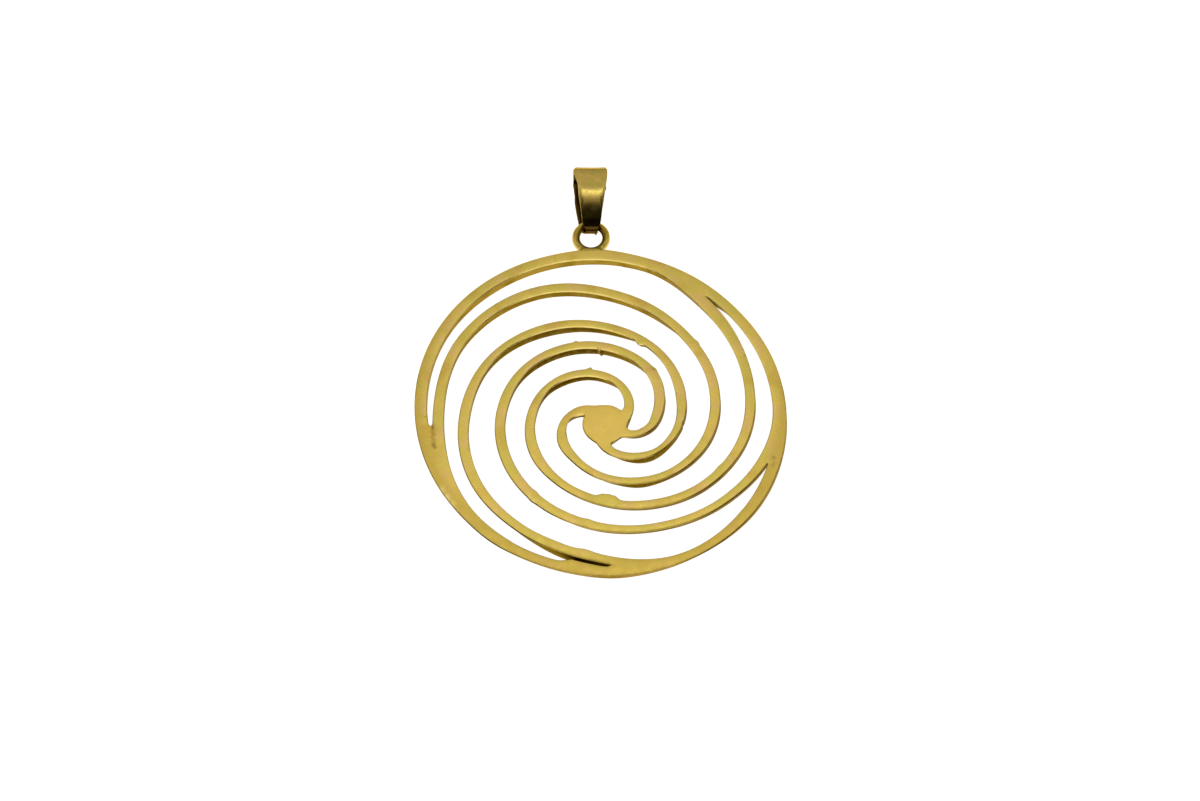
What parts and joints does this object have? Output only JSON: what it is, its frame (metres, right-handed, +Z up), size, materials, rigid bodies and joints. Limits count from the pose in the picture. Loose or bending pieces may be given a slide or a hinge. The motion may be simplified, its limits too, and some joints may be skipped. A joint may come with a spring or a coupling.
{
  "type": "brass spiral pendant",
  "caption": "Flat round brass pendant with pierced spiral arms between hub and rim, a soldered ring and a folded tapered bail.",
  "frame": {"origin": "middle of the hub, on the plate's flat underside, which lies on the table", "axes": "+Z up through the plate's front face, +Y from the hub towards the ring and the bail, +X to the right as seen from the front with the bail up"},
  "size_m": [0.05, 0.0632, 0.0038],
  "materials": {
    "disc_brass": "satin golden brass with softened bright edges, faint tarnish patches and darker walls in the pierced gaps",
    "bail_brass": "smooth polished sheet brass with brown tarnish towards the ring"
  },
  "bodies": {
    "root": {"spiral_disc": "disc_brass", "bail": "bail_brass"}
  },
  "joints": []
}
